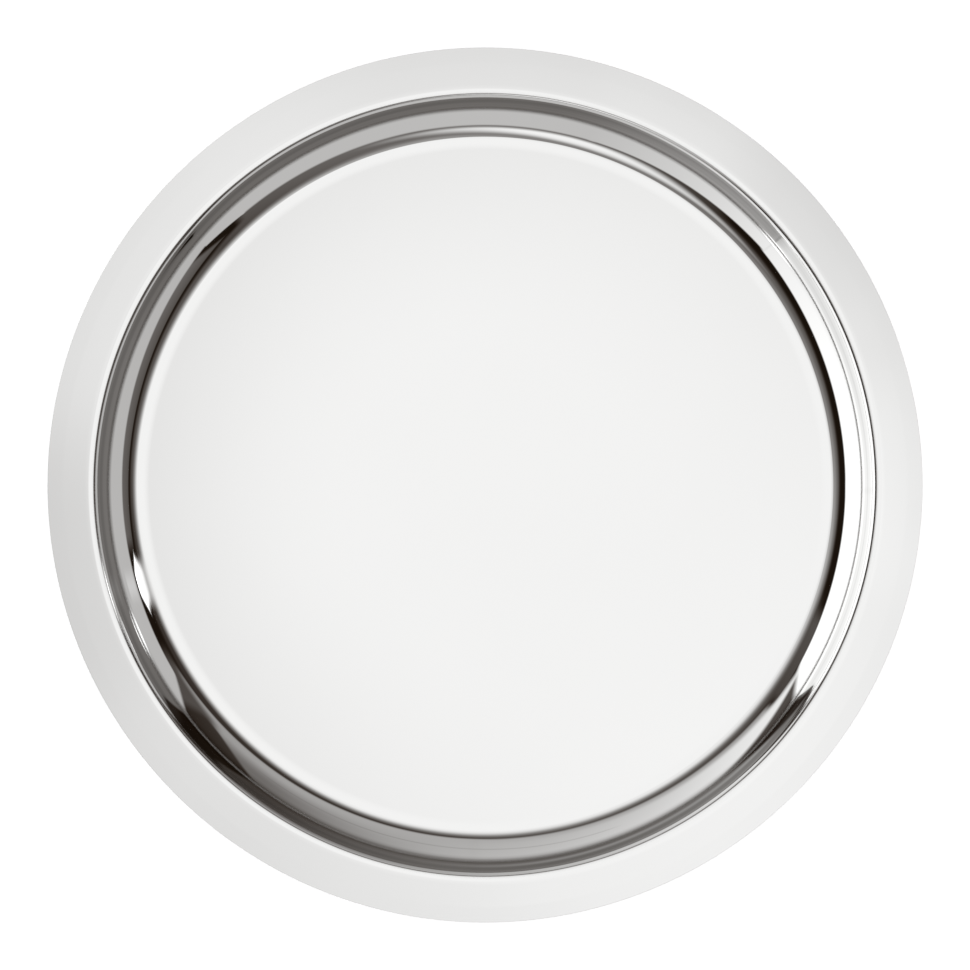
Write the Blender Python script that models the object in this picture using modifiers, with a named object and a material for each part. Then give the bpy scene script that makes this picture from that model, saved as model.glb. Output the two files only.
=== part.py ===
"""Round serving tray of polished sheet metal, with a flat rim over a stiffening ring and four feet.

Metres, +Z up. The tray stands on Z = 0 with its axis on Z, and X and Y are two equal directions
across it. The pan is one turned sheet: a flat floor, a hollow cove that turns up into a short steep
wall, a tight round shoulder, a softer bend and a broad flat rim.
"""

import math

import bmesh
import bpy

MM = 0.001

# Driving dimensions of the pan, all on the polished upper face of the sheet
TRAY_DIAMETER = 400 * MM
RIM_WIDTH = 18.9 * MM
WALL_RISE = 15.1 * MM
COVE_RADIUS = 20.1 * MM
SHOULDER_RADIUS = 3.1 * MM
RIM_BEND_RADIUS = 7.2 * MM
RIM_BEND_SLOPE = math.radians(22)
SHEET_THICKNESS = 1.0 * MM

# The flat ring that is soldered under the rim's edge
RING_WIDTH = 5.0 * MM
RING_THICKNESS = 1.6 * MM
RING_INSET = 0.3 * MM
RING_EDGE_RADIUS = 0.5 * MM
SOLDER_GAP = 0.3 * MM

# The four round feet that are glued under the floor
FOOT_COUNT = 4
FOOT_DIAMETER = 12.0 * MM
FOOT_HEIGHT = 2.2 * MM
FOOT_EDGE_RADIUS = 0.6 * MM
FOOT_CIRCLE_DIAMETER = 270 * MM
GLUE_GAP = 0.3 * MM

# How finely the round shapes are stepped
TURN_STEPS = 96
COVE_STEPS = 9
SHOULDER_STEPS = 5
RIM_BEND_STEPS = 3
RING_EDGE_STEPS = 3
FOOT_SIDES = 32
FOOT_EDGE_STEPS = 3
MERGE_DISTANCE = 0.001 * MM
SHARP_ANGLE = math.radians(40)

# Values worked out from the sizes above
TRAY_RADIUS = TRAY_DIAMETER / 2
PAN_BOTTOM = FOOT_HEIGHT + GLUE_GAP
FLOOR_TOP = PAN_BOTTOM + SHEET_THICKNESS
RIM_TOP = FLOOR_TOP + WALL_RISE
RIM_START = TRAY_RADIUS - RIM_WIDTH
SHOULDER_CENTRE_R = RIM_START - (RIM_BEND_RADIUS - SHOULDER_RADIUS) * math.sin(RIM_BEND_SLOPE)
SHOULDER_CENTRE_Z = RIM_TOP - RIM_BEND_RADIUS
SHOULDER_CENTRE_Z += (RIM_BEND_RADIUS - SHOULDER_RADIUS) * math.cos(RIM_BEND_SLOPE)
COVE_CENTRE_Z = FLOOR_TOP + COVE_RADIUS
WALL_BEND = COVE_RADIUS + SHOULDER_RADIUS
WALL_SLOPE = math.acos((COVE_CENTRE_Z - SHOULDER_CENTRE_Z) / WALL_BEND)
FLOOR_RADIUS = SHOULDER_CENTRE_R - WALL_BEND * math.sin(WALL_SLOPE)


def clear_scene():
    """Removes whatever the scene holds."""
    for obj in list(bpy.data.objects):
        bpy.data.objects.remove(obj, do_unlink=True)


def make_collection(name):
    """A collection of the scene that holds the tray's pieces."""
    collection = bpy.data.collections.new(name)
    bpy.context.scene.collection.children.link(collection)
    return collection


def make_material(name, colour, roughness, metallic):
    """A plain Principled material."""
    material = bpy.data.materials.new(name)
    material.use_nodes = True
    shader = material.node_tree.nodes["Principled BSDF"]
    shader.inputs["Base Color"].default_value = (*colour, 1)
    shader.inputs["Roughness"].default_value = roughness
    shader.inputs["Metallic"].default_value = metallic
    return material


def arc(centre_r, centre_z, radius, start, end, steps):
    """Points of an arc in a half section, with its angles counted from the +Z direction outwards."""
    points = []
    for step in range(steps + 1):
        angle = start + (end - start) * step / steps
        points.append((centre_r + radius * math.sin(angle), centre_z + radius * math.cos(angle)))
    return points


def turned_object(name, section, closed):
    """An object whose mesh is a half section in the XZ plane, with a Screw modifier that turns it."""
    mesh = bpy.data.meshes.new(name)
    edges = [(i, i + 1) for i in range(len(section) - 1)]
    if closed:
        edges.append((len(section) - 1, 0))
    mesh.from_pydata([(r, 0, z) for r, z in section], edges, [])
    obj = bpy.data.objects.new(name, mesh)
    screw = obj.modifiers.new("Turn", "SCREW")
    screw.axis = "Z"
    screw.angle = math.tau
    screw.steps = TURN_STEPS
    screw.render_steps = TURN_STEPS
    screw.use_merge_vertices = True
    screw.merge_threshold = MERGE_DISTANCE
    return obj


def settle(obj, collection, material):
    """Puts an object in its collection as a plain mesh, smooth but for its corners."""
    collection.objects.link(obj)
    depsgraph = bpy.context.evaluated_depsgraph_get()
    mesh = bpy.data.meshes.new_from_object(obj.evaluated_get(depsgraph))
    obj.modifiers.clear()
    obj.data = mesh
    mesh.name = obj.name
    mesh.shade_smooth()
    mesh.set_sharp_from_angle(angle=SHARP_ANGLE)
    mesh.materials.clear()
    mesh.materials.append(material)
    return obj


def pan_section():
    """The upper face of the sheet, from the middle of the floor out to the rim's edge."""
    cove = arc(
        FLOOR_RADIUS, COVE_CENTRE_Z, COVE_RADIUS, math.pi, math.pi - WALL_SLOPE, COVE_STEPS
    )
    shoulder = arc(
        SHOULDER_CENTRE_R,
        SHOULDER_CENTRE_Z,
        SHOULDER_RADIUS,
        -WALL_SLOPE,
        -RIM_BEND_SLOPE,
        SHOULDER_STEPS,
    )
    rim_bend = arc(
        RIM_START, RIM_TOP - RIM_BEND_RADIUS, RIM_BEND_RADIUS, -RIM_BEND_SLOPE, 0, RIM_BEND_STEPS
    )
    return [(0, FLOOR_TOP)] + cove + shoulder[1:] + rim_bend[1:] + [(TRAY_RADIUS, RIM_TOP)]


def make_tray_pan(collection, material):
    """The pressed sheet, from the middle of its floor to the plain cut edge of its rim."""
    obj = turned_object("tray_pan", pan_section(), closed=False)
    sheet = obj.modifiers.new("Sheet", "SOLIDIFY")
    sheet.thickness = SHEET_THICKNESS
    sheet.offset = -1
    sheet.use_even_offset = True
    return settle(obj, collection, material)


def make_rim_ring(collection, material):
    """The flat ring under the rim's edge, with its outer lower corner rounded."""
    top = RIM_TOP - SHEET_THICKNESS - SOLDER_GAP
    bottom = top - RING_THICKNESS
    outer = TRAY_RADIUS - RING_INSET
    inner = outer - RING_WIDTH
    corner = arc(
        outer - RING_EDGE_RADIUS,
        bottom + RING_EDGE_RADIUS,
        RING_EDGE_RADIUS,
        math.pi / 2,
        math.pi,
        RING_EDGE_STEPS,
    )
    section = [(inner, top), (outer, top)] + corner + [(inner, bottom)]
    return settle(turned_object("rim_ring", section, closed=True), collection, material)


def make_foot(number, collection, material):
    """One round foot with rounded edges, placed on the circle of feet."""
    name = f"foot_{number + 1}"
    mesh = bpy.data.meshes.new(name)
    shape = bmesh.new()
    bmesh.ops.create_cone(
        shape,
        cap_ends=True,
        segments=FOOT_SIDES,
        radius1=FOOT_DIAMETER / 2,
        radius2=FOOT_DIAMETER / 2,
        depth=FOOT_HEIGHT,
    )
    shape.to_mesh(mesh)
    shape.free()
    obj = bpy.data.objects.new(name, mesh)
    edge = obj.modifiers.new("Rounded edges", "BEVEL")
    edge.width = FOOT_EDGE_RADIUS
    edge.segments = FOOT_EDGE_STEPS
    edge.limit_method = "ANGLE"
    edge.angle_limit = SHARP_ANGLE
    turn = math.tau * (number + 0.5) / FOOT_COUNT
    reach = FOOT_CIRCLE_DIAMETER / 2
    obj.location = (reach * math.cos(turn), reach * math.sin(turn), FOOT_HEIGHT / 2)
    return settle(obj, collection, material)


def main():
    clear_scene()
    collection = make_collection("round_serving_tray")
    polished_steel = make_material("polished_steel", (0.86, 0.86, 0.85), 0.03, 1)
    ring_steel = make_material("ring_steel", (0.78, 0.78, 0.77), 0.15, 1)
    clear_silicone = make_material("clear_silicone", (0.72, 0.73, 0.73), 0.45, 0)
    make_tray_pan(collection, polished_steel)
    make_rim_ring(collection, ring_steel)
    for number in range(FOOT_COUNT):
        make_foot(number, collection, clear_silicone)


main()
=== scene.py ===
import math

import bpy
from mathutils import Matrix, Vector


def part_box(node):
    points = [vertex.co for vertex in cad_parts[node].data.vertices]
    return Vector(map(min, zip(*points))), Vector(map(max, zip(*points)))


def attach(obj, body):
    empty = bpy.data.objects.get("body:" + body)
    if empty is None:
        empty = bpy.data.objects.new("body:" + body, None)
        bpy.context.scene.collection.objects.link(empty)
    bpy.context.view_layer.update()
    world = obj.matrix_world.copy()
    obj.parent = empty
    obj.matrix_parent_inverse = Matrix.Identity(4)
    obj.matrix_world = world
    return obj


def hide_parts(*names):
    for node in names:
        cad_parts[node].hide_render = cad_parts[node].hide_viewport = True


bl_info = {
    "name": "Round serving tray",
    "version": (1, 0, 0),
    "blender": (4, 5, 0),
    "location": "3D View > Sidebar > Tray",
    "description": "Builds a polished round serving tray with its rim ring, feet and studio",
    "category": "Object",
}

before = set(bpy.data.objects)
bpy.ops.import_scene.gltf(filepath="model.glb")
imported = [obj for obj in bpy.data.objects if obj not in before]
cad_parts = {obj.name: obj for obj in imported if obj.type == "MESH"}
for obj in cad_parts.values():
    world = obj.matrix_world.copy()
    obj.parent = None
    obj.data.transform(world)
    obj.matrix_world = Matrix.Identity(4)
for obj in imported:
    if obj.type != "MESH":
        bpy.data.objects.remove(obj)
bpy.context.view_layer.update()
PAN_LOW, PAN_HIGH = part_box("tray_pan")
RING_LOW, RING_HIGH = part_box("rim_ring")
FOOT_LOW, FOOT_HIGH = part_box("foot_1")
FOOT_NODES = ["foot_1", "foot_2", "foot_3", "foot_4"]
BODY = "root"
MM = 0.001

# Steps of each bend in the pan's section, on the polished face and on the underside
FLOOR_BEND_STEPS = (16, 6)
COVE_STEPS = (64, 28)
SHOULDER_STEPS = (30, 12)
RIM_BEND_STEPS = (16, 8)
CUT_EDGE_STEPS = 6

# Points on the pan's flat stretches: shares of the floor, and distances from the bends beside them
FLOOR_SHARES = (0.05, 0.2, 0.4, 0.6, 0.8)
BEFORE_FLOOR_BEND = 1.5 * MM
AFTER_RIM_BEND = 1.0 * MM
BEFORE_CUT_EDGE = 0.5 * MM
CLOSE_TO_CUT_EDGE = 0.04 * MM

# Steps and widths in the ring's and the feet's sections
RING_CORNER_STEPS = 5
FOOT_CORNER_STEPS = 6
FOOT_TURNS = 48
SOLE_LIP = 0.6 * MM
SOLE_SLOPE = 0.6 * MM

MERGE_DISTANCE = 0.002 * MM
UNDER = "under"

# Rings of the pan with their own roughness, bump and colour, each by the radii where it starts, is
# full, ends and is gone; their colour holds painted shade and painted reflection streaks
PAN_EDGE = PAN_HIGH.x
ZONES = {
    "upper wall": (0.1715, 0.1735, 0.1785, 0.1795),
    "seam": (0.1722, 0.1729, 0.1735, 0.1742),
    "wall": (0.1742, 0.1758, 0.179, 0.1805),
    # A thin ring in the upper wall whose colour is darker: a painted shade line
    "painted shade line": (0.1751, 0.1758, 0.1763, 0.177),
    "shoulder": (0.1762, 0.1785, 0.1797, 0.1812),
    "rim": (0.1815, 0.1835, PAN_EDGE + 1 * MM, PAN_EDGE + 2 * MM),
    # The outer rim over the ring, where patches of painted shade darken the colour
    "over the ring": (PAN_EDGE - 8 * MM, PAN_EDGE - 6 * MM, PAN_EDGE + 1 * MM, PAN_EDGE + 2 * MM),
}

# How brightly the studio floor glows for the camera, for the tray's underside and in the polish
GLOW_SEEN = 0.4
GLOW_FROM_BELOW = 0.4
GLOW_MIRRORED = 0.1

SENSOR_WIDTH = 36.0
FARTHEST_SEEN = 50.0

FLOAT = "NodeSocketFloat"
VECTOR = "NodeSocketVector"
GEOMETRY = "NodeSocketGeometry"
MATERIAL = "NodeSocketMaterial"
NUMBERS = {float: FLOAT, int: "NodeSocketInt"}

# Places of two colours and their mix among a Mix node's sockets
MIX_FIRST, MIX_SECOND, MIXED = 6, 7, 2


# Node trees


class Value:
    """A value that flows through a node tree, so that a formula reads like plain arithmetic."""

    def __init__(self, socket):
        self.socket = socket
        self.tree = socket.id_data

    def math(self, operation, *others, clamp=False):
        """One Math node that takes this value first and then the others."""
        made = self.tree.nodes.new("ShaderNodeMath")
        made.operation = operation
        made.use_clamp = clamp
        for slot, item in zip(made.inputs, (self, *others)):
            put(item, slot)
        return Value(made.outputs[0])

    def clamped(self, factor=1.0):
        """This value times a factor, kept between 0 and 1."""
        return self.math("MULTIPLY", factor, clamp=True)

    def __add__(self, other):
        return self.math("ADD", other)

    def __sub__(self, other):
        return self.math("SUBTRACT", other)

    def __rsub__(self, other):
        return -self + other

    def __mul__(self, other):
        return self.math("MULTIPLY", other)

    def __truediv__(self, other):
        return self.math("DIVIDE", other)

    def __rtruediv__(self, other):
        return self.math("POWER", -1.0) * other

    def __neg__(self):
        return self * -1


def put(item, slot):
    """Feeds a socket from a value, from another socket, or with a plain number."""
    if isinstance(item, Value):
        item = item.socket
    if isinstance(item, bpy.types.NodeSocket):
        slot.id_data.links.new(item, slot)
    else:
        slot.default_value = item


def add_node(tree, kind, inputs=None, **settings):
    """A node with its settings made and its inputs fed by name."""
    made = tree.nodes.new(kind)
    for name, value in settings.items():
        setattr(made, name, value)
    for name, item in (inputs or {}).items():
        put(item, made.inputs[name])
    return made


def new_group(kind, name, inputs, outputs):
    """A node group with its given values by name, and the sockets that take its results.

    An input is named with its default, or with its kind of socket where that has no number.
    """
    tree = bpy.data.node_groups.new(name, kind)
    for label, default in inputs.items():
        socket_kind = NUMBERS.get(type(default), default)
        socket = tree.interface.new_socket(name=label, in_out="INPUT", socket_type=socket_kind)
        if type(default) in NUMBERS:
            socket.default_value = default
    for label, socket_kind in outputs.items():
        tree.interface.new_socket(name=label, in_out="OUTPUT", socket_type=socket_kind)
    entry = tree.nodes.new("NodeGroupInput")
    leave = tree.nodes.new("NodeGroupOutput")
    given = {socket.name: Value(socket) for socket in entry.outputs if socket.name}
    return tree, given, leave.inputs


def use_group(tree, group, inputs):
    """A group's node in another tree, with its inputs fed by name."""
    kind = tree.bl_idname.replace("Tree", "Group")
    return add_node(tree, kind, inputs, node_tree=group)


def split(tree, vector):
    """The three parts of a vector."""
    parts = add_node(tree, "ShaderNodeSeparateXYZ", {"Vector": vector})
    return [Value(part) for part in parts.outputs]


def joined(tree, x=0.0, y=0.0, z=0.0):
    """A vector made of three parts."""
    made = add_node(tree, "ShaderNodeCombineXYZ", {"X": x, "Y": y, "Z": z})
    return made.outputs["Vector"]


def smooth_ramp(value, start, end, low=0.0, high=1.0):
    """A value that goes smoothly from low to high while another one goes from start to end."""
    made = add_node(
        value.tree,
        "ShaderNodeMapRange",
        {"Value": value, "From Min": start, "From Max": end, "To Min": low, "To Max": high},
        interpolation_type="SMOOTHSTEP",
    )
    return Value(made.outputs["Result"])


def noise(tree, place, detail, roughness, scale=1.0, dimensions="3D"):
    """Soft random tones, the same at each run."""
    made = add_node(
        tree,
        "ShaderNodeTexNoise",
        {"Vector": place, "Scale": scale, "Detail": detail, "Roughness": roughness},
        noise_dimensions=dimensions,
    )
    return Value(made.outputs["Fac"])


# Turned shapes

ARC_INPUTS = ("R", "Z", "Step", "First", "Steps", "Centre R", "Centre Z", "Radius", "From", "To")


def build_turning_grid():
    """A grid whose one side counts the steps of a half section and whose other side is the turn."""
    tree, given, result = new_group(
        "GeometryNodeTree",
        "turning_grid",
        {"Section Steps": 10, "Turns": 64},
        {"Grid": GEOMETRY, "Step": FLOAT, "Turn": FLOAT},
    )
    steps = given["Section Steps"]
    grid = add_node(
        tree,
        "GeometryNodeMeshGrid",
        {"Size X": 1.0, "Size Y": 1.0, "Vertices X": steps + 1, "Vertices Y": given["Turns"] + 1},
    )
    place = add_node(tree, "GeometryNodeInputPosition")
    along, around, _ = split(tree, place.outputs["Position"])
    put(grid.outputs["Mesh"], result["Grid"])
    put(((along + 0.5) * steps).math("ROUND"), result["Step"])
    put((around + 0.5) * math.tau, result["Turn"])


def build_section_arc():
    """One arc of a half section. Steps before its first one keep the place that they already have."""
    tree, given, result = new_group(
        "GeometryNodeTree",
        "section_arc",
        {label: 0.0 for label in ARC_INPUTS},
        {"R": FLOAT, "Z": FLOAT},
    )
    step = given["Step"] - given["First"]
    share = (step / given["Steps"]).math("MINIMUM", 1.0).math("MAXIMUM", 0.0)
    angle = given["From"] + (given["To"] - given["From"]) * share
    new_r = given["Radius"] * angle.math("SINE") + given["Centre R"]
    new_z = given["Radius"] * angle.math("COSINE") + given["Centre Z"]
    reached = step.math("GREATER_THAN", -0.5)
    kept = 1 - reached
    put(new_r * reached + given["R"] * kept, result["R"])
    put(new_z * reached + given["Z"] * kept, result["Z"])


def build_turned_shape():
    """Places the grid's points on the turned shape, closes the seam and the poles and smooths it."""
    tree, given, result = new_group(
        "GeometryNodeTree",
        "turned_shape",
        {"Grid": GEOMETRY, "R": 0.0, "Z": 0.0, "Turn": 0.0},
        {"Shape": GEOMETRY},
    )
    radius = given["R"]
    turn = given["Turn"]
    place = joined(tree, radius * turn.math("COSINE"), radius * turn.math("SINE"), given["Z"])
    shape = given["Grid"]
    for kind, inputs in (
        ("GeometryNodeSetPosition", {"Position": place}),
        ("GeometryNodeMergeByDistance", {"Distance": MERGE_DISTANCE}),
        ("GeometryNodeSetShadeSmooth", {}),
    ):
        made = add_node(tree, kind, {"Geometry": shape, **inputs})
        shape = made.outputs["Geometry"]
    put(shape, result["Shape"])


def shape_groups():
    """The geometry groups that all turned pieces share, built once."""
    if "turned_shape" not in bpy.data.node_groups:
        build_turning_grid()
        build_section_arc()
        build_turned_shape()
    return bpy.data.node_groups


class Section:
    """Strings arcs into one half section inside a tree, and counts its steps on the way."""

    def __init__(self, tree, turns):
        self.tree = tree
        self.groups = shape_groups()
        self.first = 0
        self.grid = use_group(tree, self.groups["turning_grid"], {"Turns": turns})
        self.place = (0.0, 0.0)

    def arc(self, centre_r, centre_z, radius, start, end, steps):
        """Adds an arc. Its angles are counted from straight up towards the outside."""
        counts = (self.grid.outputs["Step"], float(self.first), float(max(steps, 1)))
        given = (*self.place, *counts, centre_r, centre_z, radius, start, end)
        made = use_group(self.tree, self.groups["section_arc"], dict(zip(ARC_INPUTS, given)))
        self.place = (made.outputs["R"], made.outputs["Z"])
        self.first += steps + 1

    def point(self, r, z):
        """Adds a single point."""
        self.arc(r, z, 0.0, 0.0, 0.0, 0)

    def turned(self, grid=None):
        """The turned shape, made from the section's own grid or from a copy that carries more."""
        self.grid.inputs["Section Steps"].default_value = self.first - 1
        shape = use_group(
            self.tree,
            self.groups["turned_shape"],
            {
                "Grid": self.grid.outputs["Grid"] if grid is None else grid,
                "R": self.place[0],
                "Z": self.place[1],
                "Turn": self.grid.outputs["Turn"],
            },
        )
        return shape.outputs["Shape"]


def finish_tree(tree, geometry, materials, result):
    """Ends a tree in Realize Instances and Set Material. Each material has its own choice of faces."""
    real = add_node(tree, "GeometryNodeRealizeInstances", {"Geometry": geometry})
    geometry = real.outputs["Geometry"]
    for material, choice in materials:
        made = add_node(
            tree,
            "GeometryNodeSetMaterial",
            {"Geometry": geometry, "Selection": choice, "Material": material},
        )
        geometry = made.outputs["Geometry"]
    put(geometry, result["Geometry"])


def build_pan_tree():
    """The pressed sheet: floor, cove, shoulder, rim bend, rim and cut edge, then its underside."""
    tree, given, result = new_group(
        "GeometryNodeTree",
        "tray_pan",
        {
            "Tray Diameter": 0.4,
            "Rim Top": 0.02,
            "Rim Width": 0.02,
            "Wall Rise": 0.015,
            "Floor Bend Radius": 0.08,
            "Floor Bend Slope": 0.044,
            "Cove Radius": 0.02,
            "Shoulder Radius": 0.003,
            "Rim Bend Radius": 0.007,
            "Rim Bend Slope": 0.4,
            "Sheet Thickness": 0.001,
            "Edge Radius": 0.0004,
            "Turns": 360,
            "Upper Finish": MATERIAL,
            "Under Finish": MATERIAL,
        },
        {"Geometry": GEOMETRY},
    )
    outer = given["Tray Diameter"] * 0.5
    top = given["Rim Top"]
    floor = top - given["Wall Rise"]
    sheet = given["Sheet Thickness"]
    lead = given["Floor Bend Radius"]
    lead_slope = given["Floor Bend Slope"]
    cove = given["Cove Radius"]
    shoulder = given["Shoulder Radius"]
    bend = given["Rim Bend Radius"]
    bend_slope = given["Rim Bend Slope"]
    edge = given["Edge Radius"]
    rim_start = outer - given["Rim Width"]
    bend_z = top - bend
    shoulder_r = rim_start - (bend - shoulder) * bend_slope.math("SINE")
    shoulder_z = bend_z + (bend - shoulder) * bend_slope.math("COSINE")
    lead_z = floor + lead
    cove_z = lead_z - (lead - cove) * lead_slope.math("COSINE")
    slope = ((cove_z - shoulder_z) / (cove + shoulder)).math("ARCCOSINE")
    cove_r = shoulder_r - (cove + shoulder) * slope.math("SINE")
    floor_r = cove_r - (lead - cove) * lead_slope.math("SINE")
    edge_r = outer - edge
    lower = top - sheet
    underside = floor - sheet
    down = math.pi
    outwards = math.pi / 2

    # Each bend's centre, radius and two angles, what its radius gains underneath, and its steps
    bends = (
        (floor_r, lead_z, lead, down, down - lead_slope, sheet, FLOOR_BEND_STEPS),
        (cove_r, cove_z, cove, down - lead_slope, down - slope, sheet, COVE_STEPS),
        (shoulder_r, shoulder_z, shoulder, -slope, -bend_slope, -sheet, SHOULDER_STEPS),
        (rim_start, bend_z, bend, -bend_slope, 0.0, -sheet, RIM_BEND_STEPS),
    )
    section = Section(tree, given["Turns"])
    section.point(0.0, floor)
    for share in FLOOR_SHARES:
        section.point(floor_r * share, floor)
    section.point(floor_r - BEFORE_FLOOR_BEND, floor)
    for r, z, radius, start, end, _, (steps, _) in bends:
        section.arc(r, z, radius, start, end, steps)
    section.point(rim_start + AFTER_RIM_BEND, top)
    section.point(edge_r - BEFORE_CUT_EDGE, top)
    section.point(edge_r - CLOSE_TO_CUT_EDGE, top)
    section.arc(edge_r, top - edge, edge, 0.0, outwards, CUT_EDGE_STEPS)
    last_polished = section.first
    section.arc(edge_r, lower + edge, edge, outwards, down, CUT_EDGE_STEPS)
    section.point(edge_r - BEFORE_CUT_EDGE, lower)
    section.point(rim_start + AFTER_RIM_BEND, lower)
    for r, z, radius, start, end, gain, (_, steps) in reversed(bends):
        section.arc(r, z, radius + gain, end, start, steps)
    section.point(floor_r - BEFORE_FLOOR_BEND, underside)
    for share in reversed(FLOOR_SHARES):
        section.point(floor_r * share, underside)
    section.point(0.0, underside)

    under = Value(section.grid.outputs["Step"]).math("GREATER_THAN", last_polished - 0.5)
    marked = add_node(
        tree,
        "GeometryNodeStoreNamedAttribute",
        {"Geometry": section.grid.outputs["Grid"], "Name": UNDER, "Value": under},
        data_type="FLOAT",
        domain="FACE",
    )
    below = add_node(tree, "GeometryNodeInputNamedAttribute", {"Name": UNDER}, data_type="FLOAT")
    is_below = Value(below.outputs["Attribute"]).math("GREATER_THAN", 0.5)
    finish_tree(
        tree,
        section.turned(marked.outputs["Geometry"]),
        [(given["Upper Finish"], True), (given["Under Finish"], is_below)],
        result,
    )
    return tree


def build_ring_tree():
    """The flat ring under the rim's edge, with all four corners rounded."""
    tree, given, result = new_group(
        "GeometryNodeTree",
        "rim_ring",
        {
            "Outer Radius": 0.2,
            "Inner Radius": 0.195,
            "Top": 0.017,
            "Bottom": 0.015,
            "Edge Radius": 0.0005,
            "Turns": 360,
            "Finish": MATERIAL,
        },
        {"Geometry": GEOMETRY},
    )
    edge = given["Edge Radius"]
    outer = given["Outer Radius"] - edge
    inner = given["Inner Radius"] + edge
    top = given["Top"] - edge
    bottom = given["Bottom"] + edge
    quarter = math.pi / 2
    section = Section(tree, given["Turns"])
    for turn, (r, z) in enumerate(((inner, top), (outer, top), (outer, bottom), (inner, bottom))):
        section.arc(r, z, edge, (turn - 1) * quarter, turn * quarter, RING_CORNER_STEPS)
    section.point(inner - edge, top)
    finish_tree(tree, section.turned(), [(given["Finish"], True)], result)
    return tree


def build_feet_tree():
    """Round feet with soft edges and a hollowed sole, set out evenly on a circle under the floor."""
    tree, given, result = new_group(
        "GeometryNodeTree",
        "feet",
        {
            "Feet": 4,
            "Foot Diameter": 0.012,
            "Foot Height": 0.0022,
            "Foot Edge Radius": 0.0006,
            "Sole Hollow": 0.0003,
            "Circle Diameter": 0.27,
            "Turns": FOOT_TURNS,
            "Finish": MATERIAL,
        },
        {"Geometry": GEOMETRY},
    )
    edge = given["Foot Edge Radius"]
    side = given["Foot Diameter"] * 0.5 - edge
    height = given["Foot Height"]
    hollow = given["Sole Hollow"]
    quarter = math.pi / 2
    section = Section(tree, given["Turns"])
    section.point(0.0, height)
    section.point(side * 0.5, height)
    section.arc(side, height - edge, edge, 0.0, quarter, FOOT_CORNER_STEPS)
    section.arc(side, edge, edge, quarter, 2 * quarter, FOOT_CORNER_STEPS)
    section.point(side - SOLE_LIP, 0.0)
    section.point(side - SOLE_LIP - SOLE_SLOPE, hollow)
    section.point(0.0, hollow)
    circle = add_node(
        tree,
        "GeometryNodeMeshCircle",
        {"Vertices": given["Feet"], "Radius": given["Circle Diameter"] * 0.5},
    )
    turned = add_node(
        tree,
        "GeometryNodeTransform",
        {"Geometry": circle.outputs["Mesh"], "Rotation": joined(tree, z=math.pi / given["Feet"])},
    )
    set_out = add_node(
        tree,
        "GeometryNodeInstanceOnPoints",
        {"Points": turned.outputs["Geometry"], "Instance": section.turned()},
    )
    finish_tree(tree, set_out.outputs["Instances"], [(given["Finish"], True)], result)
    return tree


def make_piece(name, tree, sizes, replaced):
    """Runs a tree with its sizes, keeps the result as a plain mesh and hangs it on the tray's body."""
    start = bpy.data.meshes.new(name)
    piece = bpy.data.objects.new(name, start)
    modifier = piece.modifiers.new("shape", "NODES")
    modifier.node_group = tree
    sockets = {s.name: s.identifier for s in tree.interface.items_tree if s.in_out == "INPUT"}
    for label, value in sizes.items():
        modifier[sockets[label]] = value
    bpy.context.scene.collection.objects.link(piece)
    graph = bpy.context.evaluated_depsgraph_get()
    mesh = bpy.data.meshes.new_from_object(piece.evaluated_get(graph))
    piece.modifiers.clear()
    piece.data = mesh
    mesh.name = name
    bpy.data.meshes.remove(start)
    if not mesh.polygons:
        raise RuntimeError(f"{name} came out empty")
    if UNDER in mesh.attributes:
        mesh.attributes.remove(mesh.attributes[UNDER])
    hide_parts(*replaced)
    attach(piece, BODY)


# Finishes


def from_axis(x, y):
    """The distance from the tray's axis."""
    return (x * x + y * y).math("SQRT")


def build_hairlines():
    """Fine straight scratches in one direction, as polishing and wiping leave them."""
    tree, given, result = new_group(
        "ShaderNodeTree",
        "hairlines",
        {
            "Vector": VECTOR,
            "Direction": 0.0,
            "Lines per Metre": 3000.0,
            "Length": 0.02,
            "Share": 0.2,
        },
        {"Lines": FLOAT},
    )
    spin = add_node(
        tree,
        "ShaderNodeVectorRotate",
        {"Vector": given["Vector"], "Angle": given["Direction"]},
        rotation_type="Z_AXIS",
    )
    along, across, _ = split(tree, spin.outputs["Vector"])
    place = joined(tree, along / given["Length"], across * given["Lines per Metre"])
    tone = noise(tree, place, detail=1.0, roughness=0.4, dimensions="2D")
    least = 0.78 - given["Share"] * 0.4
    put((tone - least).clamped(8.0), result["Lines"])


def build_turned_lines():
    """Fine rings round the middle, as a polishing wheel leaves them on a turning sheet."""
    tree, given, result = new_group(
        "ShaderNodeTree",
        "turned_lines",
        {"Vector": VECTOR, "Rings per Metre": 4000.0, "Breaks": 2.0},
        {"Rings": FLOAT},
    )
    x, y, z = split(tree, given["Vector"])
    turn = y.math("ARCTAN2", x)
    place = joined(
        tree,
        (from_axis(x, y) + z) * given["Rings per Metre"],
        turn.math("SINE") * given["Breaks"],
        turn.math("COSINE") * given["Breaks"],
    )
    put(noise(tree, place, detail=2.0, roughness=0.55), result["Rings"])


def build_patches():
    """Soft patches that come and go over a surface, such as a faint haze, dust and patches of painted
    shade.
    """
    tree, given, result = new_group(
        "ShaderNodeTree",
        "patches",
        {"Vector": VECTOR, "Patch Size": 0.05, "Contrast": 1.0},
        {"Mask": FLOAT},
    )
    tone = noise(tree, given["Vector"], 3.0, 0.5, scale=1.0 / given["Patch Size"])
    put(((tone - 0.5) * given["Contrast"] + 0.5).clamped(), result["Mask"])


def finish_groups():
    """The shader groups that the finishes share, built once."""
    if "hairlines" not in bpy.data.node_groups:
        build_hairlines()
        build_turned_lines()
        build_patches()
    return bpy.data.node_groups


def effect(tree, place, name, **values):
    """One of the shared effects as a mask, read at a place and with its own values."""
    inputs = {label.replace("_", " "): value for label, value in values.items()}
    made = use_group(tree, finish_groups()[name], {"Vector": place, **inputs})
    return Value(made.outputs[0])


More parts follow.
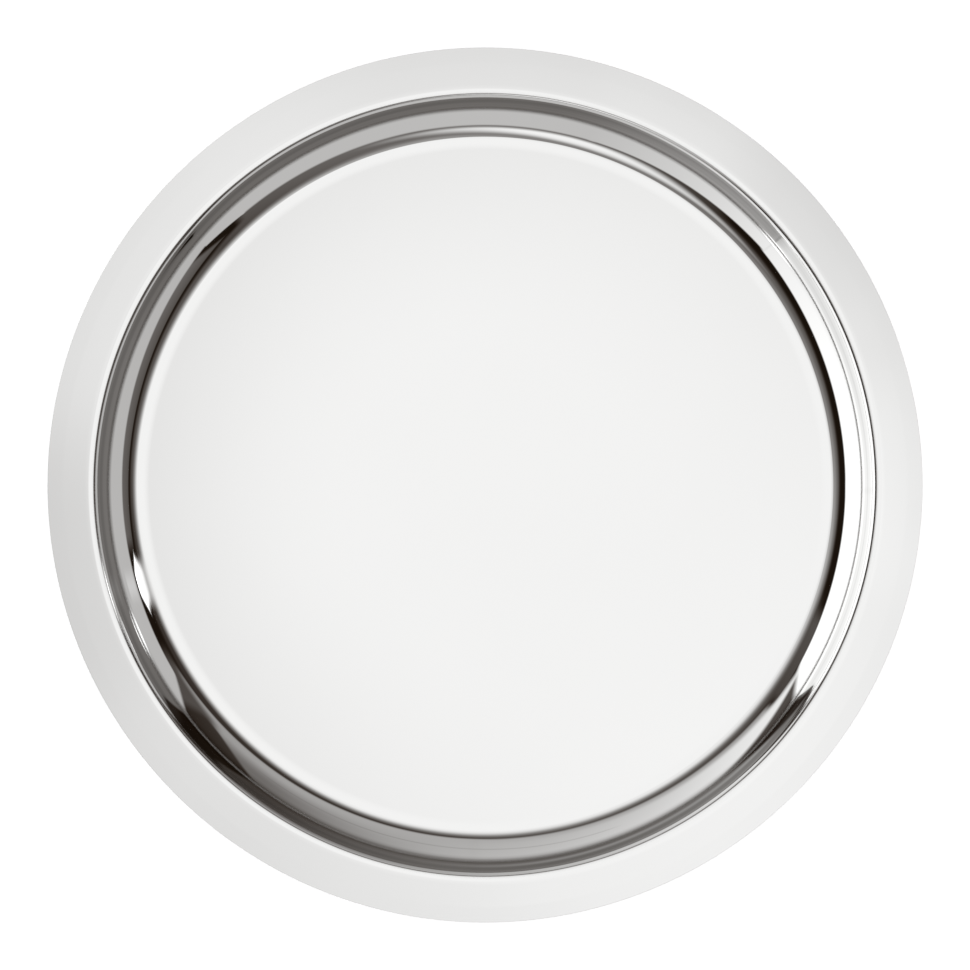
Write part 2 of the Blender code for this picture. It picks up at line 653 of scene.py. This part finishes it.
def ring_zone(tree, place, start, full, end, gone):
    """A mask for a ring round the middle, with soft sides, from four radii."""
    x, y, _ = split(tree, place)
    radius = from_axis(x, y)
    return smooth_ramp(radius, start, full) * smooth_ramp(radius, gone, end)


def new_material(name, metallic, base, roughness):
    """A material with its shader, and the object coordinates that its pattern reads."""
    material = bpy.data.materials.new(name)
    material.use_nodes = True
    tree = material.node_tree
    shader = tree.nodes["Principled BSDF"]
    shader.inputs["Metallic"].default_value = metallic
    shader.inputs["Base Color"].default_value = (*base, 1.0)
    shader.inputs["Roughness"].default_value = roughness
    place = tree.nodes.new("ShaderNodeTexCoord").outputs["Object"]
    return material, tree, shader, place


def tinted(tree, mask, base, shade):
    """A colour that goes from its base to a share of it as a mask rises."""
    mix = tree.nodes.new("ShaderNodeMix")
    mix.data_type = "RGBA"
    put(mask, mix.inputs["Factor"])
    mix.inputs[MIX_FIRST].default_value = (*base, 1.0)
    mix.inputs[MIX_SECOND].default_value = (*(part * shade for part in base), 1.0)
    return mix.outputs[MIXED]


def bumped(tree, shader, height, distance):
    """Lets a height turn the shader's normal."""
    bump = add_node(tree, "ShaderNodeBump", {"Height": height, "Distance": distance})
    put(bump.outputs["Normal"], shader.inputs["Normal"])


def polished_steel(colour):
    """Mirror polish with hardly any hairlines, a trace of haze, and the rings that pressing left as
    ripples in the wall; its colour has painted reflection streaks on the upper wall, a painted shade
    line, painted shade over the ring and a slightly darker rim.
    """
    base = tuple(colour)
    material, tree, shader, place = new_material("polished_steel", 1.0, base, 0.03)
    zones = {name: ring_zone(tree, place, *radii) for name, radii in ZONES.items()}
    haze = effect(tree, place, "patches", Patch_Size=0.07, Contrast=1.6)
    # Patches of painted shade on the outer rim over the ring
    shade_patches = effect(tree, place, "patches", Patch_Size=0.1, Contrast=3.0)
    rings = effect(tree, place, "turned_lines", Rings_per_Metre=2500.0, Breaks=3.0)
    ripples_and_painted_streaks = effect(tree, place, "turned_lines", Rings_per_Metre=260.0, Breaks=0.5)
    lines = 0.0
    for direction, count in ((0.35, 2600.0), (1.25, 2100.0), (2.4, 3100.0)):
        more = effect(
            tree, place, "hairlines", Direction=direction, Lines_per_Metre=count, Share=0.18
        )
        lines = more.math("MAXIMUM", lines)
    rough = haze * 0.012 + lines * 0.02 + rings * 0.006 + 0.012
    rough = rough + zones["shoulder"] * 0.09 + zones["seam"] * 0.1
    put(rough, shader.inputs["Roughness"])

    # Painted reflection streaks: the ripples darken the upper wall's colour in rings
    painted_reflection_streaks = (ripples_and_painted_streaks - 0.45).clamped(5.0) * zones["upper wall"]
    # The colour: haze, a slightly darker rim, painted shade over the ring, painted reflection streaks
    # and a painted shade line
    tone_and_painted_shade = haze * 0.045 + zones["rim"] * 0.15 + zones["over the ring"] * shade_patches * 0.105
    tone_and_painted_shade = tone_and_painted_shade + painted_reflection_streaks * 0.7 + zones["painted shade line"] * 0.5
    put(tinted(tree, tone_and_painted_shade, base, 0.8), shader.inputs["Base Color"])
    bumped(tree, shader, ripples_and_painted_streaks * zones["wall"], 0.01 * MM)
    return material


def spun_steel(colour):
    """The underside, left satin with the rings that the polishing wheel drew on it."""
    base = tuple(colour)
    material, tree, shader, place = new_material("spun_steel", 1.0, base, 0.24)
    fine = effect(tree, place, "turned_lines", Rings_per_Metre=3200.0, Breaks=1.5)
    broad = effect(tree, place, "turned_lines", Rings_per_Metre=420.0, Breaks=0.7)
    haze = effect(tree, place, "patches", Patch_Size=0.06, Contrast=1.5)
    lines = effect(
        tree, place, "hairlines", Direction=0.9, Lines_per_Metre=1500.0, Length=0.03, Share=0.12
    )
    rough = fine * 0.16 + broad * 0.14 + haze * 0.06 - lines * 0.04 + 0.08
    put(rough, shader.inputs["Roughness"])
    worn = ((fine + broad) * 0.5 - 0.38).clamped(4.0)
    put(tinted(tree, worn, base, 0.84), shader.inputs["Base Color"])
    bumped(tree, shader, fine + broad * 2, 0.02 * MM)
    return material


def clear_silicone(colour):
    """Soft silicone, slightly cloudy, with the dust that it picks up."""
    base = tuple(colour)
    material, tree, shader, place = new_material("clear_silicone", 0.0, base, 0.42)
    dust = effect(tree, place, "patches", Patch_Size=0.0025, Contrast=3.0)
    specks = effect(tree, place, "patches", Patch_Size=0.0007, Contrast=6.0)
    grain = effect(tree, place, "patches", Patch_Size=0.0004, Contrast=1.0)
    put(tinted(tree, dust * 0.6 + specks * 0.4, base, 0.8), shader.inputs["Base Color"])
    put(dust * 0.2 + 0.34, shader.inputs["Roughness"])
    bumped(tree, shader, grain, 0.04 * MM)
    return material


# Studio


def tilt_ramp(tilt, start, end, low, high):
    """A light that changes smoothly with the angle from straight up, given in degrees."""
    return smooth_ramp(tilt, math.radians(start), math.radians(end), low, high)


def side_ramp(turn, facing, outer, inner, low, high):
    """A value that rises towards one side, from low at an outer to high at an inner angle from it."""
    near = (turn - math.radians(facing)).math("COSINE")
    start = math.cos(math.radians(outer))
    end = math.cos(math.radians(inner))
    return smooth_ramp(near, start, end, low, high)


def angle_between(tree, direction, aim):
    """The angle between two directions."""
    dot = add_node(tree, "ShaderNodeVectorMath", {0: direction, 1: aim}, operation="DOT_PRODUCT")
    return Value(dot.outputs["Value"]).math("MINIMUM", 1.0).math("ARCCOSINE")


def tilt_from(tree, direction, facing, lean):
    """The angle between a direction and an axis that leans from straight up towards a side."""
    level = math.sin(math.radians(lean))
    side = math.radians(facing)
    axis = (level * math.cos(side), -level * math.sin(side), math.cos(math.radians(lean)))
    return angle_between(tree, direction, axis)


def build_studio_card():
    """A flat upright card that stands round the tray, laid over what is behind it.

    Directions are read on the card's own plane: u runs sideways and h upwards, both in units of
    its distance. Facing is counted clockwise, seen from above, from the right of the picture.
    """
    tree, given, result = new_group(
        "ShaderNodeTree",
        "studio_card",
        {
            "Direction": VECTOR,
            "Behind": 0.0,
            "Facing": 0.0,
            "Left": -1.0,
            "Left Lean": 0.0,
            "Right": 1.0,
            "Right Lean": 0.0,
            "Bottom": -1.0,
            "Top": 1.0,
            "Top Slope": 0.0,
            "Softness": 0.02,
            "Top Softness": 0.02,
            "Left Light": 1.0,
            "Right Light": 1.0,
            "Rise": 1.0,
        },
        {"Light": FLOAT},
    )
    x, y, z = split(tree, given["Direction"])
    cosine = given["Facing"].math("COSINE")
    sine = given["Facing"].math("SINE")
    ahead = x * cosine - y * sine
    aside = -(x * sine) - y * cosine
    depth = ahead.math("MAXIMUM", 0.0001)
    u = aside / depth
    h = z / depth
    left = h * given["Left Lean"] + given["Left"]
    right = h * given["Right Lean"] + given["Right"]
    top = u * given["Top Slope"] + given["Top"]
    mask = ahead.math("GREATER_THAN", 0.0)
    for inside, soft in (
        (u - left, given["Softness"]),
        (right - u, given["Softness"]),
        (top - h, given["Top Softness"]),
        (h - given["Bottom"], given["Softness"]),
    ):
        mask = mask * smooth_ramp(inside, -soft, soft)
    across = ((u - left) / (right - left)).clamped()
    light = given["Left Light"] + (given["Right Light"] - given["Left Light"]) * across
    light = light * ((given["Rise"] - 1) * (h / top).clamped() + 1)
    put(given["Behind"] + (light - given["Behind"]) * mask, result["Light"])
    return tree


def build_studio_spot():
    """A round soft light in one direction, laid over what is behind it."""
    tree, given, result = new_group(
        "ShaderNodeTree",
        "studio_spot",
        {
            "Direction": VECTOR,
            "Behind": 0.0,
            "Facing": 0.0,
            "Height": 0.5,
            "Inner": 0.05,
            "Outer": 0.15,
            "Spot Light": 1.0,
        },
        {"Light": FLOAT},
    )
    level = given["Height"].math("COSINE")
    aim = joined(
        tree,
        level * given["Facing"].math("COSINE"),
        -(level * given["Facing"].math("SINE")),
        given["Height"].math("SINE"),
    )
    away = angle_between(tree, given["Direction"], aim)
    share = smooth_ramp(away, given["Outer"], given["Inner"])
    put(given["Behind"] + (given["Spot Light"] - given["Behind"]) * share, result["Light"])
    return tree


def card(facing, sides, top, soft, light, foot=-1.0, lean=(0.0, 0.0), slope=0.0, rise=1.0):
    """A card's values. Pairs are for its left and right, but soft is for its sides and its top."""
    return {
        "Facing": math.radians(facing),
        "Left": sides[0],
        "Left Lean": lean[0],
        "Right": sides[1],
        "Right Lean": lean[1],
        "Bottom": foot,
        "Top": top,
        "Top Slope": slope,
        "Softness": soft[0],
        "Top Softness": soft[1],
        "Left Light": light[0],
        "Right Light": light[1],
        "Rise": rise,
    }


def spot(facing, height, inner, outer, light):
    """A spot's values. All but its light are angles in degrees."""
    angles = {"Facing": facing, "Height": height, "Inner": inner, "Outer": outer}
    return {**{name: math.radians(value) for name, value in angles.items()}, "Spot Light": light}


# Cards and walls round the tray, the ones behind first
CARDS = {
    "near wall top left": card(
        90, sides=(-1.15, -0.2), foot=1.0, top=5.0, soft=(0.1, 2.0), light=(0.088, 0.2), rise=0.5
    ),
    "near wall top right": card(
        90, sides=(-0.2, 0.9), foot=1.0, top=5.0, soft=(0.1, 2.0), light=(0.16, 0.04)
    ),
    "far wall left": card(
        270, sides=(-1.27, 0.06), top=2.0, soft=(0.06, 0.28), light=(0.42, 0.47), slope=-0.12
    ),
    "far wall right": card(
        270, sides=(0.0, 1.9), top=2.01, soft=(0.06, 0.26), light=(0.47, 0.29), slope=0.42
    ),
    "far wall foot": card(
        270, sides=(0.36, 2.5), top=1.1, soft=(0.38, 0.6), light=(0.19, 0.11), lean=(0.1, 0.0)
    ),
    "far wall glow": card(
        270, sides=(-2.5, -0.32), top=1.52, soft=(0.7, 0.34), light=(1.0, 0.88), lean=(0.0, -0.14)
    ),
    "far wall streak": card(
        288, sides=(-0.8, 0.35), foot=0.78, top=0.8, soft=(0.06, 0.06), light=(0.33, 0.16)
    ),
    "gap beside the window": card(
        270, sides=(-3.0, -0.79), top=1.62, soft=(0.12, 0.1), light=(0.085, 0.09),
        lean=(0.0, -0.68),
    ),
    "window head": card(
        180, sides=(-1.12, 0.39), foot=0.6, top=2.1, soft=(0.1, 0.42), light=(0.01, 0.012),
        slope=0.2,
    ),
    "window post": card(
        180, sides=(0.39, 0.74), foot=1.16, top=2.2, soft=(0.04, 0.5), light=(0.1, 0.07)
    ),
    "window left": card(
        180, sides=(-0.85, 0.02), top=1.08, soft=(0.02, 0.08), light=(0.96, 1.33), slope=-0.02
    ),
    "window right": card(
        180, sides=(0.0, 0.7), top=1.08, soft=(0.03, 0.08), light=(1.33, 1.25), lean=(0.0, -0.12)
    ),
    "door frame": card(
        0, sides=(-0.6, 1.08), foot=0.5, top=1.98, soft=(0.05, 0.35), light=(0.012, 0.012)
    ),
    "door pane": card(
        0, sides=(-0.17, 0.62), foot=0.5, top=1.57, soft=(0.035, 0.1), light=(0.2, 0.2),
        lean=(0.0, 0.21), rise=0.5,
    ),
    "door post": card(0, sides=(-0.9, -0.53), top=1.55, soft=(0.06, 0.4), light=(0.1, 0.08)),
    "far corner": card(
        0, sides=(-1.31, -0.68), top=1.12, soft=(0.05, 0.16), light=(0.035, 0.026),
        lean=(0.34, -0.12), rise=1.5,
    ),
    "side wall": card(
        0, sides=(-0.77, 0.9), top=0.86, soft=(0.02, 0.07), light=(0.54, 0.53),
        lean=(0.16, 0.0), slope=-0.245,
    ),
    "near wall end": card(
        90, sides=(-1.17, -0.88), top=2.03, soft=(0.01, 0.06), light=(0.54, 0.56), slope=1.02
    ),
    "near wall": card(
        90, sides=(-0.9, 0.32), top=1.15, soft=(0.01, 0.12), light=(0.56, 0.58), slope=0.06
    ),
    "near wall right": card(90, sides=(0.3, 1.19), top=1.17, soft=(0.01, 0.1), light=(0.58, 0.95)),
    "soft lamp": card(
        90, sides=(-0.5, -0.08), foot=1.42, top=3.1, soft=(0.26, 1.3), light=(1.02, 1.0),
        lean=(0.22, 0.355),
    ),
    "strip lamp trail": card(
        344, sides=(-0.03, 0.03), foot=0.3, top=0.8, soft=(0.03, 0.1), light=(0.68, 0.68)
    ),
    "strip lamp glow": card(
        344, sides=(-0.06, 0.06), foot=2.0, top=5.5, soft=(0.03, 1.0), light=(0.51, 0.51)
    ),
    "strip lamp": card(
        344, sides=(-0.12, 0.12), foot=1.4, top=2.3, soft=(0.02, 0.75), light=(1.35, 1.35),
        lean=(0.033, -0.033),
    ),
    "strip lamp foot": card(
        344, sides=(0.12, -0.12), foot=1.03, top=1.43, soft=(0.02, 0.02), light=(2.4, 2.4),
        lean=(-0.143, 0.143),
    ),
}

SPOTS = {
    "low lamp left": spot(141, height=3.5, inner=2.0, outer=4.5, light=1.7),
    "low lamp right": spot(336.7, height=3.5, inner=1.8, outer=4.5, light=1.7),
}

# Light added to or taken from the ceiling's border, by side, outer and inner angle in degrees
BORDER = (
    (217, 43, 9, 0.08),
    (0, 20, 4, 0.05),
    (108, 28, 8, -0.03),
    (169, 25, 5, -0.045),
    (320, 18, 3, -0.035),
    (299, 16, 3, 0.03),
)

# Levels at which light stops being a wall's and is a lamp's, which is never dimmed
LAMP_LEVELS = (0.93, 1.0)

# The dim light that a second reflection meets above the tray
DIM_ABOVE = 0.16


def laid_over(tree, group, label, values, direction, light):
    """Lays one card or spot over the light that is behind it."""
    made = use_group(tree, group, {"Direction": direction, "Behind": light, **values})
    made.label = label
    return Value(made.outputs["Light"])


def ceiling_light(tree, direction, upright, turn, behind):
    """The white ceiling: a round pool of light that fades sooner on one side of the tray."""
    leaning = tilt_from(tree, direction, 150, 2.6)
    wide = tilt_ramp(leaning, 10.0, 19.7, 0.39, 0.0)
    wide = wide + tilt_ramp(leaning, 10.0, 25.7, 0.61, 0.0)
    narrow = tilt_ramp(upright, 9.6, 11.3, 1.0, 0.0)
    pool = wide + (narrow - wide) * side_ramp(turn, 125, 110.5, 0, 0.0, 0.82)
    sides = 0.62 - (turn - math.radians(30)).math("COSINE") * 0.62
    sides = sides + (turn * 2 - math.radians(310)).math("COSINE") * 0.18
    white = 1.02 - sides * tilt_ramp(upright, 3.0, 12.0, 0.0, 0.21)
    border = tilt_ramp(upright, 7.6, 8.6, 0.0, 1.0)
    for facing, outer, inner, change in BORDER:
        white = white + side_ramp(turn, facing, outer, inner, 0.0, change) * border
    return behind + (white - behind) * pool


def room_light(tree, direction, upright, turn):
    """The room as the polish mirrors it: a hazy dark, then cards, spots and the ceiling over it."""
    haze = side_ramp(turn, 315, 60, 0, 0.085, 0.025)
    light = haze * tilt_ramp(upright, 24, 40, 1.0, 0.0) + 0.018
    group = build_studio_card()
    for label, values in CARDS.items():
        light = laid_over(tree, group, label, values, direction, light)
    group = build_studio_spot()
    for label, values in SPOTS.items():
        light = laid_over(tree, group, label, values, direction, light)
    return ceiling_light(tree, direction, upright, turn, light)


def dimmed_again(light, upright, turn, plain, depth):
    """The room in a second reflection: darker by side, in soft bands, and dim from above."""
    twice = Value(depth).math("GREATER_THAN", 1.5)
    dimmed = side_ramp(turn, 138, 39, 8, 0.67, 0.5)
    dimmed = dimmed - side_ramp(turn, 0, 35, 15, 0.0, 0.06)
    bands = ((upright - math.radians(72)) * 20).math("COSINE") * 0.1
    dimmed = dimmed - bands * side_ramp(turn, 232, 50, 20, 0.0, 1.0)
    dimmed = dimmed - side_ramp(turn, 262, 55, 25, 0.0, 0.07)
    light = light * (1 - twice * dimmed * plain)
    return light + (DIM_ABOVE - light) * twice * tilt_ramp(upright, 40, 52, 0.8, 0.0)


def studio_world():
    """Even white light on all that isn't a mirror, and for the polish a studio room to mirror."""
    world = bpy.data.worlds.new("studio")
    world.use_nodes = True
    bpy.context.scene.world = world
    tree = world.node_tree
    tree.nodes.clear()
    rays = tree.nodes.new("ShaderNodeLightPath").outputs
    direction = tree.nodes.new("ShaderNodeTexCoord").outputs["Generated"]
    upright = tilt_from(tree, direction, 0, 0)
    x, y, _ = split(tree, direction)
    turn = (-y).math("ARCTAN2", x)
    light = room_light(tree, direction, upright, turn)

    # The walls are darker towards their foot
    plain = smooth_ramp(light, *LAMP_LEVELS, 1.0, 0.0)
    foot = tilt_ramp(upright, 80, 87, 0.0, 0.33)
    beyond = side_ramp(turn, 262, 75, 40, 0.0, 0.2)
    foot = foot + beyond * tilt_ramp(upright, 72, 82, 0.0, 1.0)
    light = light * (1 - foot * plain)
    light = dimmed_again(light, upright, turn, plain, rays["Glossy Depth"])

    # Darker tones are a little warmer
    level = (light - 1) * rays["Is Glossy Ray"] + 1
    warmth = level / (level + 0.03) * (1 - level * 0.9).math("MAXIMUM", 0.0)
    warm = add_node(
        tree,
        "ShaderNodeCombineColor",
        {"Red": level, "Green": level - warmth * 0.0156, "Blue": level - warmth * 0.0256},
    )
    back = add_node(
        tree, "ShaderNodeBackground", {"Color": warm.outputs["Color"], "Strength": 1.0}
    )
    out = tree.nodes.new("ShaderNodeOutputWorld")
    put(back.outputs["Background"], out.inputs["Surface"])
    world.cycles.sampling_method = "NONE"


def floor_material(colour):
    """White paper that keeps the tray's shadow, shows white round it and is clear from below."""
    material = bpy.data.materials.new("studio_floor")
    material.use_nodes = True
    tree = material.node_tree
    shader = tree.nodes["Principled BSDF"]
    shader.inputs["Base Color"].default_value = (*colour, 1.0)
    shader.inputs["Roughness"].default_value = 0.9
    shader.inputs["Specular IOR Level"].default_value = 0.0
    shader.inputs["Emission Color"].default_value = (1.0, 1.0, 1.0, 1.0)
    rays = tree.nodes.new("ShaderNodeLightPath").outputs
    glow = Value(rays["Is Camera Ray"]) * GLOW_SEEN
    glow = glow + Value(rays["Is Diffuse Ray"]) * GLOW_FROM_BELOW
    mirrored = Value(rays["Is Glossy Ray"]) + rays["Is Transmission Ray"]
    put(glow + mirrored * GLOW_MIRRORED, shader.inputs["Emission Strength"])
    below = tree.nodes.new("ShaderNodeNewGeometry").outputs["Backfacing"]
    clear = tree.nodes.new("ShaderNodeBsdfTransparent")
    sides = add_node(
        tree, "ShaderNodeMixShader", {0: below, 1: shader.outputs[0], 2: clear.outputs[0]}
    )
    put(sides.outputs[0], tree.nodes["Material Output"].inputs["Surface"])
    return material


# Sizes and colours


def length(name, description, default):
    """A length in the panel."""
    return bpy.props.FloatProperty(
        name=name, description=description, default=default, unit="LENGTH"
    )


def angle(name, description, default):
    """An angle in the panel."""
    return bpy.props.FloatProperty(
        name=name, description=description, default=default, unit="ROTATION"
    )


def number(name, description, default, least):
    """A whole number in the panel."""
    return bpy.props.IntProperty(name=name, description=description, default=default, min=least)


def colour(name, description, default):
    """A colour in the panel."""
    return bpy.props.FloatVectorProperty(
        name=name, description=description, default=default, subtype="COLOR", min=0.0, max=1.0
    )


class TrayPanSizes(bpy.types.PropertyGroup):
    """Sizes of the pressed sheet, all on its polished upper face."""

    diameter: length("Diameter", "Width of the tray over its rim", PAN_HIGH.x - PAN_LOW.x)
    rim_width: length("Rim width", "Width of the flat part of the rim", 18.5 * MM)
    wall_rise: length("Wall rise", "Height of the rim above the floor", 15.1 * MM)
    floor_bend_radius: length(
        "Floor bend radius", "Radius of the soft bend that leads from floor to cove", 80.0 * MM
    )
    floor_bend_slope: angle(
        "Floor bend slope", "Slope at which the soft bend passes to the cove", math.radians(2.5)
    )
    cove_radius: length("Cove radius", "Radius of the hollow between floor and wall", 20.1 * MM)
    shoulder_radius: length(
        "Shoulder radius", "Radius of the tight bend at the wall's top", 3.1 * MM
    )
    rim_bend_radius: length(
        "Rim bend radius", "Radius of the softer bend that leads to the rim", 14.0 * MM
    )
    rim_bend_slope: angle(
        "Rim bend slope", "Slope at which the tight bend passes to the softer", math.radians(9.5)
    )
    sheet: length("Sheet thickness", "Thickness of the sheet", 1.0 * MM)
    edge_radius: length("Edge radius", "Radius of the smoothed cut edge", 0.06 * MM)
    turns: number("Turns", "Number of faces round the tray", 400, least=48)


class TrayFeetSizes(bpy.types.PropertyGroup):
    """Sizes of the ring and the feet under the tray."""

    ring_width: length("Ring width", "Width of the flat ring", 5.0 * MM)
    ring_edge: length("Ring edge radius", "Radius of the ring's corners", 0.45 * MM)
    count: number("Feet", "Number of feet, set out evenly", len(FOOT_NODES), least=3)
    edge_radius: length("Foot edge radius", "Radius of a foot's edges", 0.6 * MM)
    hollow: length("Sole hollow", "Depth of the hollow in a foot's sole", 0.25 * MM)


class TrayColours(bpy.types.PropertyGroup):
    """Colours of the tray's finishes and of the studio floor."""

    polished: colour("Polished steel", "Colour of the mirror polish", (0.88, 0.88, 0.875))
    spun: colour("Spun steel", "Colour of the satin underside and ring", (0.78, 0.78, 0.77))
    silicone: colour("Silicone", "Colour of the feet", (0.72, 0.73, 0.73))
    floor: colour("Studio floor", "Colour of the paper under the tray", (0.9, 0.9, 0.9))


class TrayStudio(bpy.types.PropertyGroup):
    """The camera and the floor of the studio."""

    camera_height: length("Camera height", "Height of the camera above the rim", 1.19)
    lens: bpy.props.FloatProperty(
        name="Lens",
        description="Focal length of the camera on a 36 mm sensor",
        default=96.62,
        subtype="DISTANCE_CAMERA",
    )
    floor_size: length("Floor size", "Width of the studio floor", 8.0)


# Operators


class TRAY_OT_pan(bpy.types.Operator):
    """Makes the pan: one polished sheet with floor, cove, wall and rim"""

    bl_idname = "tray.make_pan"
    bl_label = "Make pan"

    def execute(self, context):
        sizes = context.scene.tray_pan
        colours = context.scene.tray_colours
        make_piece(
            "pan",
            build_pan_tree(),
            {
                "Tray Diameter": sizes.diameter,
                "Rim Top": PAN_HIGH.z,
                "Rim Width": sizes.rim_width,
                "Wall Rise": sizes.wall_rise,
                "Floor Bend Radius": sizes.floor_bend_radius,
                "Floor Bend Slope": sizes.floor_bend_slope,
                "Cove Radius": sizes.cove_radius,
                "Shoulder Radius": sizes.shoulder_radius,
                "Rim Bend Radius": sizes.rim_bend_radius,
                "Rim Bend Slope": sizes.rim_bend_slope,
                "Sheet Thickness": sizes.sheet,
                "Edge Radius": sizes.edge_radius,
                "Turns": sizes.turns,
                "Upper Finish": polished_steel(colours.polished),
                "Under Finish": spun_steel(colours.spun),
            },
            ["tray_pan"],
        )
        return {"FINISHED"}


class TRAY_OT_ring(bpy.types.Operator):
    """Makes the stiffening ring under the rim's edge"""

    bl_idname = "tray.make_ring"
    bl_label = "Make rim ring"

    def execute(self, context):
        sizes = context.scene.tray_pan
        under = context.scene.tray_feet
        make_piece(
            "rim_stiffener",
            build_ring_tree(),
            {
                "Outer Radius": RING_HIGH.x,
                "Inner Radius": RING_HIGH.x - under.ring_width,
                "Top": PAN_HIGH.z - sizes.sheet,
                "Bottom": RING_LOW.z,
                "Edge Radius": under.ring_edge,
                "Turns": sizes.turns,
                "Finish": bpy.data.materials["spun_steel"],
            },
            ["rim_ring"],
        )
        return {"FINISHED"}


class TRAY_OT_feet(bpy.types.Operator):
    """Makes the round feet under the floor"""

    bl_idname = "tray.make_feet"
    bl_label = "Make feet"

    def execute(self, context):
        under = context.scene.tray_feet
        middle = (FOOT_LOW + FOOT_HIGH) / 2
        make_piece(
            "feet",
            build_feet_tree(),
            {
                "Feet": under.count,
                "Foot Diameter": FOOT_HIGH.x - FOOT_LOW.x,
                "Foot Height": PAN_LOW.z,
                "Foot Edge Radius": under.edge_radius,
                "Sole Hollow": under.hollow,
                "Circle Diameter": 2 * math.hypot(middle.x, middle.y),
                "Turns": FOOT_TURNS,
                "Finish": clear_silicone(context.scene.tray_colours.silicone),
            },
            FOOT_NODES,
        )
        return {"FINISHED"}


class TRAY_OT_stage(bpy.types.Operator):
    """Sets the studio: white floor, soft surrounding light and the camera straight above"""

    bl_idname = "tray.make_stage"
    bl_label = "Set studio"

    def execute(self, context):
        scene = context.scene
        studio = scene.tray_studio
        half = studio.floor_size / 2
        corners = [(-half, -half, 0), (half, -half, 0), (half, half, 0), (-half, half, 0)]
        mesh = bpy.data.meshes.new("studio_floor")
        mesh.from_pydata(corners, [], [(0, 1, 2, 3)])
        mesh.materials.append(floor_material(scene.tray_colours.floor))
        floor = bpy.data.objects.new("studio_floor", mesh)
        scene.collection.objects.link(floor)
        camera = bpy.data.cameras.new("overhead")
        camera.sensor_width = SENSOR_WIDTH
        camera.lens = studio.lens
        camera.clip_end = FARTHEST_SEEN
        overhead = bpy.data.objects.new("overhead", camera)
        overhead.location = (0.0, 0.0, PAN_HIGH.z + studio.camera_height)
        scene.collection.objects.link(overhead)
        scene.camera = overhead
        scene.view_settings.view_transform = "Standard"
        studio_world()
        return {"FINISHED"}


SETTINGS = {
    "tray_pan": TrayPanSizes,
    "tray_feet": TrayFeetSizes,
    "tray_colours": TrayColours,
    "tray_studio": TrayStudio,
}
OPERATORS = (TRAY_OT_pan, TRAY_OT_ring, TRAY_OT_feet, TRAY_OT_stage)


class TRAY_PT_panel(bpy.types.Panel):
    """Lists the tray's sizes, colours and steps"""

    bl_idname = "TRAY_PT_panel"
    bl_label = "Round serving tray"
    bl_space_type = "VIEW_3D"
    bl_region_type = "UI"
    bl_category = "Tray"

    def draw(self, context):
        layout = self.layout
        for name, settings in SETTINGS.items():
            box = layout.box()
            for setting in settings.__annotations__:
                box.prop(getattr(context.scene, name), setting)
        for operator in OPERATORS:
            layout.operator(operator.bl_idname)


CLASSES = (*SETTINGS.values(), *OPERATORS, TRAY_PT_panel)


def register():
    """Registers the classes, and gives the scene its settings."""
    for cls in CLASSES:
        bpy.utils.register_class(cls)
    for name, settings in SETTINGS.items():
        setattr(bpy.types.Scene, name, bpy.props.PointerProperty(type=settings))


def unregister():
    """Takes the settings and the classes away again."""
    for name in SETTINGS:
        delattr(bpy.types.Scene, name)
    for cls in reversed(CLASSES):
        bpy.utils.unregister_class(cls)


def main():
    """Makes the pieces and the studio."""
    register()
    bpy.ops.tray.make_pan()
    bpy.ops.tray.make_ring()
    bpy.ops.tray.make_feet()
    bpy.ops.tray.make_stage()


if __name__ == "__main__":
    main()
